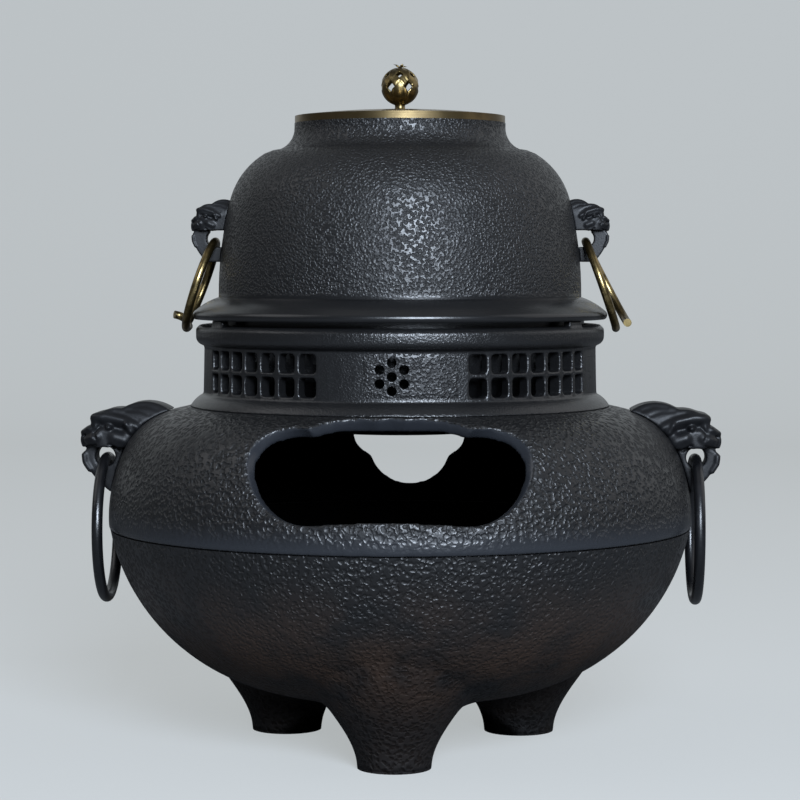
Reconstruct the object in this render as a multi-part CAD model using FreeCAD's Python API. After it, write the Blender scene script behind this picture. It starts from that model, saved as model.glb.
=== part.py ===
import FreeCAD
import Part
import math
import os

# A charcoal tea stove: a cast-iron brazier on three feet, with an iron kettle hung in its pierced neck.
# Lengths are in millimetres and angles in degrees. The origin is on the floor under the middle of the
# brazier, +Z is up and the fire window faces -Y.

# Brazier castings
belly_radius = 150.0
bowl_base_height = 27.6
bowl_height = 85.0
bowl_flat_radius = 46.0
belly_line_height = bowl_base_height + bowl_height
belly_step = 0.8
belly_rise = 5.3
belly_height = belly_line_height + belly_rise
stove_wall = 7.0
tongue_width = 3.0
tongue_height = 3.0
shoulder_run = 42.0
shoulder_low_radius = 80.7
shoulder_low_turn = 26.2
shoulder_top_radius = 36.5
shoulder_top_turn = 76.8

# Feet
foot_count = 3
foot_circle_radius = 71.4
foot_bottom_radius = 18.3
foot_draft = 6.0
foot_flare_radius = 28.0

# Neck, counted inwards from the belly
collar_radius = belly_radius - shoulder_run
collar_step = 6.8
bead_height = 6.4
bead_bulge = 0.8
neck_radius = collar_radius - collar_step
neck_draft = 0.5
neck_wall = 7.0
neck_height = 24.97
lip_depth = 4.0
rim_overhang = 3.8
rim_radius = neck_radius + rim_overhang
rim_width = 7.5
rim_inner_radius = rim_radius - rim_width
rim_height = 10.5
rim_band_height = 4.0
rim_top_rounding = 2.0
rest_pad_count = 3
rest_pad_length = 12.0
rest_pad_width = 4.0
rest_pad_height = 2.8

# Neck openings
lattice_columns = 7
lattice_rows = 2
lattice_first_angle = 24.2
lattice_window_width = 9.0
lattice_window_height = 9.3
lattice_post_width = 2.83
lattice_bar_height = 2.3
lattice_corner_radius = 1.6
blossom_hole_radius = 2.35
blossom_pitch = 6.8
blossom_petals = 6

# Windows of the shoulder: their edges run towards a focus inside the belly, so they cross the wall squarely
window_focus_inset = 80.0
window_focus_depth = belly_radius - window_focus_inset
window_focus_drop = 12.6
window_focus_height = belly_line_height - window_focus_drop
window_tilt = 40.0
window_reach = 77.0
window_inner_share = 0.6
window_outer_share = 1.4
fire_window_half_width = 68.8
fire_window_drop = 27.9
fire_window_corner_radius = 31.2
fire_window_lobe_radius = 21.4
fire_window_cusp_angle = 122.0
fire_window_crown_reach = 21.0
fire_window_crown_height = 32.0
fire_window_dip_reach = 6.8
fire_window_dip_height = 31.0
fire_window_peak_height = 32.9
draught_window_centre_drop = 2.0
draught_window_main_lobe_radius = 21.3
draught_window_main_lobe_offset = 11.3
draught_window_side_lobe_radius = 16.5
draught_window_side_lobe_offset = 13.2

# Grate
grate_radius = 88.0
grate_thickness = 6.0
grate_rise = 36.4
grate_height = bowl_base_height + grate_rise
grate_slots = 12
grate_slot_width = 7.0
grate_slot_start_radius = 26.0
grate_rim_width = 14.0
grate_slot_end_radius = grate_radius - grate_rim_width
grate_hole_radius = 10.0
grate_lug_reach = 9.0
grate_lug_width = 16.0
grate_lug_depth = 8.0

# Beast-face ring holders of the brazier, placed from its widest point
stove_lug_root_inset = 32.0
stove_lug_root_radius = belly_radius - stove_lug_root_inset
stove_lug_overhang = 15.0
stove_lug_tip_radius = belly_radius + stove_lug_overhang
stove_lug_chin_rise = 12.1
stove_lug_chin_height = belly_height + stove_lug_chin_rise
stove_lug_crown_rise = 59.3
stove_lug_crown_height = belly_height + stove_lug_crown_rise
stove_lug_jaw_width = 15.0
stove_lug_head_width = 30.0
stove_lug_hole_overhang = 2.2
stove_lug_hole_reach = belly_radius + stove_lug_hole_overhang
stove_lug_hole_rise = 30.9
stove_lug_hole_height = belly_height + stove_lug_hole_rise
stove_lug_hole_radius = 5.1
stove_ring_radius = 36.2
stove_ring_wire_radius = 2.8
stove_rivet_radius = 2.5
stove_rivet_head_radius = 5.0
stove_rivet_head_height = 3.0
stove_rivet_depth = 6.0
stove_rivet_rises = (19.1, 43.1)

# Side view of a beast face: crown, brow, nose, snout, lip and jaw, each an arc given by its middle and end.
# Shares run from root to tip and from chin to crown.
beast_start_shares = (0.0, 0.905)
beast_arc_shares = (
    ((0.277, 1.0), (0.532, 0.925)),
    ((0.72, 0.905), (0.845, 0.83)),
    ((0.868, 0.785), (0.872, 0.735)),
    ((1.0, 0.605), (0.955, 0.465)),
    ((0.972, 0.375), (0.925, 0.275)),
    ((0.81, 0.125), (0.668, 0.0)),
)
beast_head_start_share = 0.5
beast_cheek_share = 0.6

# Kettle radii, counted from the brazier's rim
kettle_wall = 4.5
flange_overhang = 1.6
flange_tip_radius = rim_radius + flange_overhang
flange_bulge = 0.7
kettle_spigot_gap = 2.7
kettle_spigot_radius = rim_inner_radius - kettle_spigot_gap
kettle_mouth_inset = 52.4
kettle_mouth_radius = flange_tip_radius - kettle_mouth_inset
kettle_throat_radius = 11.8
kettle_throat_width = 15.5
kettle_crease_radius = kettle_mouth_radius + kettle_throat_width
kettle_shoulder_radius = 39.0
kettle_shoulder_start_angle = 58.9
kettle_shoulder_end_angle = 13.9
kettle_side_radius = 202.0

# Kettle heights, counted from the underside of its flange
flange_edge_thickness = 4.2
flange_height = 11.2
kettle_wall_height = 89.0
kettle_depth = 57.8
kettle_throat_drop = 2.4
kettle_crease_drop = 15.7

# Ring holders and rings of the kettle, placed from its flange
kettle_lug_root_inset = 22.6
kettle_lug_root_radius = flange_tip_radius - kettle_lug_root_inset
kettle_lug_overhang = 1.0
kettle_lug_tip_radius = flange_tip_radius + kettle_lug_overhang
kettle_lug_chin_rise = 18.0
kettle_lug_crown_rise = 50.2
kettle_lug_jaw_width = 9.0
kettle_lug_head_width = 18.0
kettle_lug_hole_inset = 11.2
kettle_lug_hole_reach = flange_tip_radius - kettle_lug_hole_inset
kettle_lug_hole_rise = 30.0
kettle_lug_hole_radius = 4.3
kettle_tang_radius = 3.0
kettle_tang_depth = 3.0
kettle_tang_rise = 41.0
kettle_ring_radius = 23.6
kettle_ring_wire_radius = 2.1
left_ring_front_lean = 20.5
left_ring_front_sweep = 158.0
left_ring_rear_lean = 18.6
left_ring_rear_sweep = 196.0
left_ring_curl_radius = 5.5
left_ring_curl_turn = 120.0
right_ring_front_lean = 27.5
right_ring_rear_lean = 19.4
right_ring_sweep = 177.0

# Lid and knob
lid_edge_inset = 0.2
lid_radius = kettle_mouth_radius - lid_edge_inset
lid_edge_height = 3.6
lid_crown_height = 6.8
lid_collar_clearance = 0.5
lid_collar_wall = 2.5
lid_collar_depth = 7.0
knob_seat_radius = 3.4
knob_seat_waist_radius = 2.6
knob_seat_height = 3.0
knob_ball_radius = 9.1
knob_ball_wall = 1.3
knob_window_count = 6
knob_window_size = 3.7
knob_window_drop = 0.3
knob_upper_window_size = 2.6
knob_upper_window_angle = 38.0
knob_star_points = 5
knob_star_radius = 4.2
knob_star_inner_radius = 1.7
knob_star_thickness = 0.9
knob_star_stalk_radius = 1.0
knob_star_stalk_height = 1.6
knob_stem_radius = 1.5
knob_nut_sides = 6
knob_nut_radius = 4.0
knob_nut_height = 3.0
knob_stem_tail = 2.0

# Fits
seat_clearance = 0.15
running_clearance = 0.3
cut_overrun = 20.0

origin = FreeCAD.Vector()
across = FreeCAD.Vector(1, 0, 0)
back = FreeCAD.Vector(0, 1, 0)
up = FreeCAD.Vector(0, 0, 1)
full_turn = 360.0


def polar(radius, angle):
    """A point in the XZ plane at this distance and direction from the origin."""
    return FreeCAD.Vector(radius * math.cos(math.radians(angle)), 0, radius * math.sin(math.radians(angle)))


def around_axis(radius, turn):
    """A point in the XY plane at this share of a full turn about the origin."""
    angle = math.radians(turn * full_turn)
    return FreeCAD.Vector(radius * math.cos(angle), radius * math.sin(angle), 0)


def height_angle(centre, radius, height):
    """Direction from the centre of a circle to its outer point at this height."""
    return math.degrees(math.asin((height - centre.z) / radius))


class Outline:
    """A closed outline in the XZ plane, drawn from point to point."""

    def __init__(self, x, z):
        self.edges = []
        self.start = FreeCAD.Vector(x, 0, z)
        self.here = self.start

    def line(self, x, z):
        end = FreeCAD.Vector(x, 0, z)
        self.edges.append(Part.makeLine(self.here, end))
        self.here = end

    def around(self, centre, end_angle):
        """Follow the circle about this centre to the given direction."""
        spoke = self.here - centre
        start_angle = math.degrees(math.atan2(spoke.z, spoke.x))
        middle = centre + polar(spoke.Length, (start_angle + end_angle) / 2)
        self.through(middle, centre + polar(spoke.Length, end_angle))

    def through(self, middle, end):
        """Follow the arc that passes through the middle point to the end point."""
        self.edges.append(Part.Arc(self.here, middle, end).toShape())
        self.here = end

    def wire(self):
        if self.here.distanceToPoint(self.start) > Part.Precision.confusion():
            self.line(self.start.x, self.start.z)
        return Part.Wire(self.edges)

    def turned(self):
        """The solid that this outline sweeps about the Z axis."""
        return Part.Face(self.wire()).revolve(origin, up, full_turn)

    def plate(self, width):
        """A plate of this outline, centred on the XZ plane."""
        face = Part.Face(self.wire())
        face.translate(back * (-width / 2))
        return face.extrude(back * width)


def mirrored(shape):
    """The same piece for the left side."""
    return shape.mirror(origin, across)


def bowl_curve():
    """Centre and radius of the bowl's side, which leaves the base level and ends at the belly line."""
    reach = belly_radius - belly_step - bowl_flat_radius
    rise = belly_line_height - bowl_base_height
    radius = (reach ** 2 + rise ** 2) / (2 * rise)
    return FreeCAD.Vector(bowl_flat_radius, 0, bowl_base_height + radius), radius


def bowl_fill(inset):
    """The bowl's form as a full body, drawn in from the outside by this inset."""
    centre, radius = bowl_curve()
    outline = Outline(0, bowl_base_height + inset)
    outline.line(bowl_flat_radius, bowl_base_height + inset)
    outline.around(centre, height_angle(centre, radius - inset, belly_line_height))
    outline.line(0, belly_line_height)
    return outline.turned()


def tongue_band(clearance):
    """The ring that locates the shoulder on the bowl, in the middle of the wall."""
    middle = belly_radius - belly_step - stove_wall / 2
    inner = middle - tongue_width / 2 - clearance
    outer = middle + tongue_width / 2 + clearance
    outline = Outline(inner, belly_line_height)
    outline.line(outer, belly_line_height)
    outline.line(outer, belly_line_height + tongue_height + clearance)
    outline.line(inner, belly_line_height + tongue_height + clearance)
    return outline.turned()


def foot(cavity):
    """One foot at the front, drawn up into the bowl's wall."""
    middle = back * -foot_circle_radius
    top_height = bowl_base_height + cut_overrun
    top_radius = foot_bottom_radius + top_height * math.tan(math.radians(foot_draft))
    return Part.makeCone(foot_bottom_radius, top_radius, top_height, middle).cut(cavity)


def foot_joint_edges(body):
    """The edges where the tapered feet meet the underside of the bowl."""
    edges = []
    for face in body.Faces:
        if isinstance(face.Surface, Part.Cone):
            edges += [edge for edge in face.Edges if edge.BoundBox.ZMin > 0 and not edge.isSeam(face)]
    return edges


def grate_lug():
    """One bracket at the rear that carries the grate, to be trimmed to the bowl."""
    inner = grate_radius - grate_lug_reach
    corner = FreeCAD.Vector(-grate_lug_width / 2, inner, grate_height - grate_lug_depth)
    return Part.makeBox(grate_lug_width, belly_radius - inner, grate_lug_depth, corner)


def turned_copies(shape, count):
    copies = []
    for index in range(count):
        copy = shape.copy()
        copy.rotate(origin, up, index * full_turn / count)
        copies.append(copy)
    return copies


def lower_bowl():
    cavity = bowl_fill(stove_wall)
    body = bowl_fill(0).fuse(turned_copies(foot(cavity), foot_count)).removeSplitter()
    body = body.makeFillet(foot_flare_radius, foot_joint_edges(body))
    lugs = [lug.common(cavity) for lug in turned_copies(grate_lug(), foot_count)]
    return body.cut(cavity).fuse(lugs + [tongue_band(0)]).removeSplitter()


def shoulder_curves():
    """Centres of the shoulder's low and top curves, which run into each other."""
    low = FreeCAD.Vector(belly_radius - shoulder_low_radius, 0, belly_height)
    top = low + polar(shoulder_low_radius - shoulder_top_radius, shoulder_low_turn)
    return low, top


def shoulder_slope_point(radius, inset):
    """The point at this radius on the straight slope above the top curve."""
    low, top = shoulder_curves()
    end = top + polar(shoulder_top_radius - inset, shoulder_top_turn)
    rise = (end.x - radius) / math.tan(math.radians(shoulder_top_turn))
    return FreeCAD.Vector(radius, 0, end.z + rise)


def collar_height():
    return shoulder_slope_point(collar_radius, 0).z


def neck_inner_radius():
    return neck_radius - neck_wall


def neck_top_height():
    return collar_height() + bead_height + neck_height


def rim_top_height():
    return neck_top_height() + rim_height


def flange_underside_height():
    """The kettle's flange rests on the pads of the rim, and its other heights follow."""
    return rim_top_height() + rest_pad_height


def flange_top_height():
    return flange_underside_height() + flange_height


def kettle_mouth_height():
    return flange_top_height() + kettle_wall_height


def kettle_bottom_height():
    return flange_underside_height() - kettle_depth


def shoulder_fill(inset):
    """The shoulder's form as a full body, drawn in from the outside by this inset."""
    low, top = shoulder_curves()
    start_angle = height_angle(low, shoulder_low_radius - inset, belly_line_height)
    start = low + polar(shoulder_low_radius - inset, start_angle)
    slope_end = shoulder_slope_point(collar_radius, inset)
    outline = Outline(0, belly_line_height)
    outline.line(start.x, start.z)
    outline.around(low, shoulder_low_turn)
    outline.around(top, shoulder_top_turn)
    outline.line(slope_end.x, slope_end.z)
    outline.line(0, slope_end.z)
    return outline.turned()


def window_cutter(wire):
    """A cutter whose sides run from this wire, drawn about the origin, to the focus of the front windows."""
    focus = FreeCAD.Vector(0, -window_focus_depth, window_focus_height)
    turn = FreeCAD.Rotation(across, -window_tilt)
    wire = wire.copy()
    wire.Placement = FreeCAD.Placement(focus + turn.multVec(back * -window_reach), turn)
    ends = []
    for share in (window_inner_share, window_outer_share):
        end = wire.copy()
        end.scale(share, focus)
        ends.append(end)
    return Part.makeLoft(ends, True, True)


def fire_window_wire():
    """Flat below and round at the ends, with a cloud-shaped top that peaks in the middle."""
    corner_reach = fire_window_half_width - fire_window_corner_radius
    end_height = fire_window_corner_radius - fire_window_drop
    lobe_reach = fire_window_half_width - fire_window_lobe_radius
    crown = FreeCAD.Vector(fire_window_crown_reach, 0, fire_window_crown_height)
    dip = FreeCAD.Vector(fire_window_dip_reach, 0, fire_window_dip_height)
    right = Outline(0, -fire_window_drop)
    right.line(corner_reach, -fire_window_drop)
    right.around(FreeCAD.Vector(corner_reach, 0, end_height), 0)
    right.around(FreeCAD.Vector(lobe_reach, 0, end_height), fire_window_cusp_angle)
    right.through(crown, dip)
    right.line(0, fire_window_peak_height)
    left = [mirrored(edge) for edge in right.edges]
    return Part.Wire(Part.__sortEdges__(right.edges + left))


def draught_window_cutters():
    """Four round lobes behind, two tall ones over each other and two at the sides."""
    lobes = []
    for sign in (-1, 1):
        main_height = sign * draught_window_main_lobe_offset - draught_window_centre_drop
        lobes.append((0, main_height, draught_window_main_lobe_radius))
        side_reach = sign * draught_window_side_lobe_offset
        lobes.append((side_reach, -draught_window_centre_drop, draught_window_side_lobe_radius))
    cutters = []
    for x, z, radius in lobes:
        circle = Part.makeCircle(radius, FreeCAD.Vector(x, 0, z), back)
        cutter = window_cutter(Part.Wire(circle))
        cutter.rotate(origin, up, full_turn / 2)
        cutters.append(cutter)
    return cutters


def stove_rivet_heights():
    return [belly_height + rise for rise in stove_rivet_rises]


def stove_rivet_spots():
    return [(height, side) for side in (-1, 1) for height in stove_rivet_heights()]


def rivet_bar(radius, length, height, side):
    """A round bar from the axis of the brazier outwards, to the left or right."""
    return Part.makeCylinder(radius, length, up * height, across * side)


def shoulder_shell():
    throat = Part.makeCylinder(neck_inner_radius(), 2 * cut_overrun, up * (collar_height() - cut_overrun))
    body = shoulder_fill(0).cut([shoulder_fill(stove_wall), throat, tongue_band(seat_clearance)])
    body = body.cut([window_cutter(fire_window_wire())] + draught_window_cutters())
    holes = []
    hole_length = belly_radius + cut_overrun
    for height, side in stove_rivet_spots():
        holes.append(rivet_bar(stove_rivet_radius + seat_clearance, hole_length, height, side))
    return body.cut(holes)


def rounded_bar(width, height, corner_radius, start, length):
    """A bar along -Y that starts this far from the Z axis, with rounded long edges."""
    bar = Part.makeBox(width, length, height, FreeCAD.Vector(-width / 2, -start - length, -height / 2))
    long_edges = [edge for edge in bar.Edges if abs(edge.BoundBox.YLength - length) < corner_radius]
    return bar.makeFillet(corner_radius, long_edges)


def neck_middle_height():
    return neck_top_height() - neck_height / 2


def lattice_cutters():
    """Two rows of rounded windows on either side of the front, and the same behind."""
    start = neck_inner_radius() - neck_wall / 2
    length = neck_wall + cut_overrun
    window = rounded_bar(lattice_window_width, lattice_window_height, lattice_corner_radius, start, length)
    pitch_angle = math.degrees((lattice_window_width + lattice_post_width) / neck_radius)
    row_pitch = lattice_window_height + lattice_bar_height
    cutters = []
    for row in range(lattice_rows):
        height = neck_middle_height() + (row - (lattice_rows - 1) / 2) * row_pitch
        for column in range(lattice_columns):
            angle = lattice_first_angle + column * pitch_angle
            for turn in (angle, -angle, full_turn / 2 + angle, full_turn / 2 - angle):
                cutter = window.copy()
                cutter.translate(up * height)
                cutter.rotate(origin, up, turn)
                cutters.append(cutter)
    return cutters


def blossom_cutters():
    """Round holes in the form of a blossom, in front and behind."""
    spots = [FreeCAD.Vector()]
    for petal in range(blossom_petals):
        spots.append(polar(blossom_pitch, full_turn / 4 + petal * full_turn / blossom_petals))
    cutters = []
    length = 2 * (neck_radius + cut_overrun)
    for spot in spots:
        start = FreeCAD.Vector(spot.x, -length / 2, neck_middle_height() + spot.z)
        cutters.append(Part.makeCylinder(blossom_hole_radius, length, start, back))
    return cutters


def rest_pads():
    """Raised pads on the rim that carry the kettle's flange."""
    inner = (rim_inner_radius + rim_radius - rest_pad_width) / 2
    corner = FreeCAD.Vector(-rest_pad_length / 2, inner, rim_top_height())
    pad = Part.makeBox(rest_pad_length, rest_pad_width, rest_pad_height, corner)
    return turned_copies(pad, rest_pad_count)


def neck_ring():
    base = collar_height()
    inner = neck_inner_radius()
    lip_outer = inner - seat_clearance
    lip_inner = lip_outer - neck_wall / 2
    neck_top_radius = neck_radius - neck_draft
    neck_top = neck_top_height()
    rim_top = rim_top_height()
    rim_step = rim_radius - neck_top_radius
    bead_top = FreeCAD.Vector(neck_radius, 0, base + bead_height)
    bead_foot = FreeCAD.Vector(collar_radius, 0, base)
    bulge = FreeCAD.Vector(bead_height, 0, collar_radius - neck_radius).normalize() * bead_bulge
    outline = Outline(lip_inner, base - lip_depth)
    outline.line(lip_outer, base - lip_depth)
    outline.line(lip_outer, base)
    outline.line(collar_radius, base)
    outline.through((bead_top + bead_foot) / 2 + bulge, bead_top)
    outline.line(neck_top_radius, neck_top)
    outline.around(FreeCAD.Vector(neck_top_radius, 0, neck_top + rim_step), 0)
    outline.line(rim_radius, neck_top + rim_step + rim_band_height)
    outline.line(rim_radius - rim_top_rounding, rim_top)
    outline.line(rim_inner_radius, rim_top)
    outline.line(rim_inner_radius, neck_top + rim_step)
    outline.line(inner, neck_top)
    outline.line(inner, base + bead_height)
    body = outline.turned().cut(lattice_cutters() + blossom_cutters())
    return body.fuse(rest_pads()).removeSplitter()


def fire_grate():
    base = up * grate_height
    plate = Part.makeCylinder(grate_radius, grate_thickness, base)
    below = base - up * cut_overrun
    depth = grate_thickness + 2 * cut_overrun
    slot_run = grate_slot_end_radius - grate_slot_start_radius
    corner = FreeCAD.Vector(-grate_slot_width / 2, grate_slot_start_radius, below.z)
    slot = Part.makeBox(grate_slot_width, slot_run, depth, corner)
    for end_radius in (grate_slot_start_radius, grate_slot_end_radius):
        slot = slot.fuse(Part.makeCylinder(grate_slot_width / 2, depth, below + back * end_radius))
    centre_hole = Part.makeCylinder(grate_hole_radius, depth, below)
    return plate.cut(turned_copies(slot.removeSplitter(), grate_slots) + [centre_hole])


def beast_plate(root, tip, chin, crown, width):
    """A plate with the beast's side view, from its root in the wall to its snout."""
    def spot(share):
        return FreeCAD.Vector(root + share[0] * (tip - root), 0, chin + share[1] * (crown - chin))
    start = spot(beast_start_shares)
    outline = Outline(start.x, start.z)
    for middle, end in beast_arc_shares:
        outline.through(spot(middle), spot(end))
    outline.line(root, chin)
    return outline.plate(width)


def beast_lug(root, tip, chin, crown, jaw_width, head_width):
    """A beast face with a narrow jaw and a head that widens behind the snout."""
    jaw = beast_plate(root, tip, chin, crown, jaw_width)
    head = beast_plate(root, tip, chin, crown, head_width)
    head_base = chin + beast_head_start_share * (crown - chin)
    cheek = root + beast_cheek_share * (tip - root)
    half = head_width / 2
    side = Part.makeLine(FreeCAD.Vector(root, -half, head_base), FreeCAD.Vector(cheek, -half, head_base))
    brow = Part.Arc(
        FreeCAD.Vector(cheek, -half, head_base),
        FreeCAD.Vector(tip, 0, head_base),
        FreeCAD.Vector(cheek, half, head_base),
    ).toShape()
    other_side = Part.makeLine(FreeCAD.Vector(cheek, half, head_base), FreeCAD.Vector(root, half, head_base))
    closing = Part.makeLine(FreeCAD.Vector(root, half, head_base), FreeCAD.Vector(root, -half, head_base))
    plan = Part.Face(Part.Wire([side, brow, other_side, closing])).extrude(up * (crown - head_base))
    return jaw.fuse(head.common(plan)).removeSplitter()


def hole_bar(radius, reach, height, width):
    """A round bar along Y, for the hole that a ring hangs in."""
    length = width + 2 * cut_overrun
    return Part.makeCylinder(radius, length, FreeCAD.Vector(reach, -length / 2, height), back)


def ring_top(hole_height, hole_radius, jaw_width, ring_radius, wire_radius):
    """Height of the wire's middle where the ring hangs on the rounded floor of its hole."""
    inside = ring_radius - wire_radius
    sag = inside - math.sqrt(inside ** 2 - (jaw_width / 2) ** 2)
    return hole_height - hole_radius + running_clearance + sag + wire_radius


def right_stove_lug():
    lug = beast_lug(
        stove_lug_root_radius,
        stove_lug_tip_radius,
        stove_lug_chin_height,
        stove_lug_crown_height,
        stove_lug_jaw_width,
        stove_lug_head_width,
    )
    hole = hole_bar(stove_lug_hole_radius, stove_lug_hole_reach, stove_lug_hole_height, stove_lug_head_width)
    sockets = []
    for height in stove_rivet_heights():
        length = stove_surface_radius(height) + stove_rivet_depth + seat_clearance
        sockets.append(rivet_bar(stove_rivet_radius + seat_clearance, length, height, 1))
    return lug.cut([shoulder_fill(-seat_clearance), hole] + sockets)


def stove_surface_radius(height):
    """Outer radius of the shoulder at this height."""
    low, top = shoulder_curves()
    turn_height = low.z + polar(shoulder_low_radius, shoulder_low_turn).z
    centre, radius = (low, shoulder_low_radius) if height < turn_height else (top, shoulder_top_radius)
    return centre.x + radius * math.cos(math.radians(height_angle(centre, radius, height)))


def stove_lug_rivets():
    """Rivets with their heads inside the shoulder, two for each ring holder."""
    cavity = shoulder_fill(stove_wall + seat_clearance)
    rivets = []
    for height, side in stove_rivet_spots():
        tip = stove_surface_radius(height) + stove_rivet_depth
        head_start = stove_surface_radius(height) - stove_wall - stove_rivet_head_height
        before_head = rivet_bar(stove_rivet_head_radius + cut_overrun, head_start, height, side)
        head = rivet_bar(stove_rivet_head_radius, tip, height, side).common(cavity)
        rivet = rivet_bar(stove_rivet_radius, tip, height, side).fuse(head).cut(before_head)
        rivets.append(rivet.removeSplitter())
    return Part.makeCompound(rivets)


def right_stove_ring():
    top = ring_top(
        stove_lug_hole_height,
        stove_lug_hole_radius,
        stove_lug_jaw_width,
        stove_ring_radius,
        stove_ring_wire_radius,
    )
    middle = FreeCAD.Vector(stove_lug_hole_reach, 0, top - stove_ring_radius)
    return Part.makeTorus(stove_ring_radius, stove_ring_wire_radius, middle, across)


def kettle_shoulder_centre():
    crease = FreeCAD.Vector(kettle_crease_radius, 0, kettle_mouth_height() - kettle_crease_drop)
    return crease - polar(kettle_shoulder_radius, kettle_shoulder_start_angle)


def kettle_side_centre():
    spoke = polar(kettle_side_radius - kettle_shoulder_radius, kettle_shoulder_end_angle)
    return kettle_shoulder_centre() - spoke


def kettle_base_curve():
    """Centre of the quarter circle below the flange, which ends in the flat bottom."""
    return FreeCAD.Vector(kettle_spigot_radius - kettle_depth, 0, flange_underside_height())


def kettle_side_start(inset, height):
    """The point of the kettle's side at this height, drawn in by this inset."""
    centre = kettle_side_centre()
    radius = kettle_side_radius - inset
    return centre + polar(radius, height_angle(centre, radius, height))


def draw_kettle_upper(outline, inset):
    """The side, the shoulder and the throat, from the flange up to the mouth."""
    throat_height = kettle_mouth_height() - kettle_throat_drop
    throat = FreeCAD.Vector(kettle_mouth_radius + kettle_throat_radius, 0, throat_height)
    outline.around(kettle_side_centre(), kettle_shoulder_end_angle)
    outline.around(kettle_shoulder_centre(), kettle_shoulder_start_angle)
    throat_foot = throat + polar(kettle_throat_radius + inset, -full_turn / 4)
    outline.line(throat_foot.x, throat_foot.z)
    outline.around(throat, -full_turn / 2)
    outline.line(kettle_mouth_radius - inset, kettle_mouth_height())


def kettle_cavity():
    centre = kettle_base_curve()
    outline = Outline(0, kettle_bottom_height() + kettle_wall)
    outline.line(centre.x, kettle_bottom_height() + kettle_wall)
    outline.around(centre, 0)
    side = kettle_side_start(kettle_wall, flange_top_height())
    outline.line(side.x, side.z)
    draw_kettle_upper(outline, kettle_wall)
    outline.line(0, kettle_mouth_height())
    return outline.turned()


def kettle_fill():
    centre = kettle_base_curve()
    side = kettle_side_start(0, flange_top_height())
    edge_round = flange_edge_thickness / 2
    edge = FreeCAD.Vector(flange_tip_radius, 0, flange_underside_height() + edge_round)
    edge_foot = FreeCAD.Vector(flange_tip_radius - edge_round / 2, 0, flange_underside_height())
    edge_top = edge_foot + up * flange_edge_thickness
    slope = edge_top - side
    bulge = FreeCAD.Vector(-slope.z, 0, slope.x).normalize() * flange_bulge
    outline = Outline(0, kettle_bottom_height())
    outline.line(centre.x, kettle_bottom_height())
    outline.around(centre, 0)
    outline.line(edge_foot.x, edge_foot.z)
    outline.through(edge, edge_top)
    outline.through((edge_top + side) / 2 + bulge, side)
    draw_kettle_upper(outline, 0)
    outline.line(0, kettle_mouth_height())
    return outline.turned()


def kettle_tang(clearance):
    """The tang of the right ring holder, which ends inside the wall."""
    start = kettle_side_start(kettle_tang_depth + clearance, flange_top_height() + kettle_tang_rise)
    length = kettle_lug_tip_radius - start.x
    return Part.makeCylinder(kettle_tang_radius + clearance, length, start, across)


def kettle_body():
    socket = kettle_tang(seat_clearance)
    return kettle_fill().cut([kettle_cavity(), socket, mirrored(socket)])


def right_kettle_lug():
    lug = beast_lug(
        kettle_lug_root_radius,
        kettle_lug_tip_radius,
        flange_top_height() + kettle_lug_chin_rise,
        flange_top_height() + kettle_lug_crown_rise,
        kettle_lug_jaw_width,
        kettle_lug_head_width,
    )
    radius = kettle_lug_hole_radius
    hole_height = flange_top_height() + kettle_lug_hole_rise
    hole = hole_bar(radius, kettle_lug_hole_reach, hole_height, kettle_lug_head_width)
    wall = kettle_fill()
    length = kettle_lug_head_width + 2 * cut_overrun
    corner = FreeCAD.Vector(kettle_lug_root_radius, -length / 2, hole_height - radius)
    gap = Part.makeBox(kettle_lug_hole_reach - kettle_lug_root_radius, length, 2 * radius, corner)
    shell = lug.cut([wall, hole, gap])
    tang = kettle_tang(0).common(lug.fuse(wall))
    return shell.fuse(tang).removeSplitter()


def ring_half(pivot, lean, sweep):
    """Half of an open ring that hangs from the pivot and leans out to the right."""
    down = polar(kettle_ring_radius, lean - full_turn / 4)
    disc = Part.Face(Part.Wire(Part.makeCircle(kettle_ring_wire_radius, pivot, back)))
    return disc.revolve(pivot + down, down.cross(back), sweep)


def kettle_ring_pivot():
    top = ring_top(
        flange_top_height() + kettle_lug_hole_rise,
        kettle_lug_hole_radius,
        kettle_lug_jaw_width,
        kettle_ring_radius,
        kettle_ring_wire_radius,
    )
    return FreeCAD.Vector(kettle_lug_hole_reach, 0, top)


def right_kettle_ring():
    """An open ring whose ends hang side by side."""
    pivot = kettle_ring_pivot()
    front = ring_half(pivot, right_ring_front_lean, -right_ring_sweep)
    rear = ring_half(pivot, right_ring_rear_lean, right_ring_sweep)
    return front.fuse(rear).removeSplitter()


def left_kettle_ring():
    """An open ring whose front end curls outwards and whose rear end passes below."""
    pivot = kettle_ring_pivot()
    front = ring_half(pivot, left_ring_front_lean, -left_ring_front_sweep)
    rear = ring_half(pivot, left_ring_rear_lean, left_ring_rear_sweep)
    down = polar(kettle_ring_radius, left_ring_front_lean - full_turn / 4)
    spoke = FreeCAD.Rotation(down.cross(back), -left_ring_front_sweep).multVec(down * -1)
    end_middle = pivot + down + spoke
    heading = FreeCAD.Rotation(down.cross(back), -full_turn / 4).multVec(spoke)
    outward = down.cross(back)
    if outward.x < 0:
        outward = outward * -1
    disc = Part.Face(Part.Wire(Part.makeCircle(kettle_ring_wire_radius, end_middle, heading)))
    curl_middle = end_middle + outward.normalize() * left_ring_curl_radius
    curl = disc.revolve(curl_middle, heading.cross(outward) * -1, left_ring_curl_turn)
    return mirrored(front.fuse([rear, curl]).removeSplitter())


def lid_sphere():
    """Centre and radius of the lid's crowned top."""
    rise = lid_crown_height - lid_edge_height
    radius = (lid_radius ** 2 + rise ** 2) / (2 * rise)
    return up * (kettle_mouth_height() + lid_crown_height - radius), radius


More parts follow.
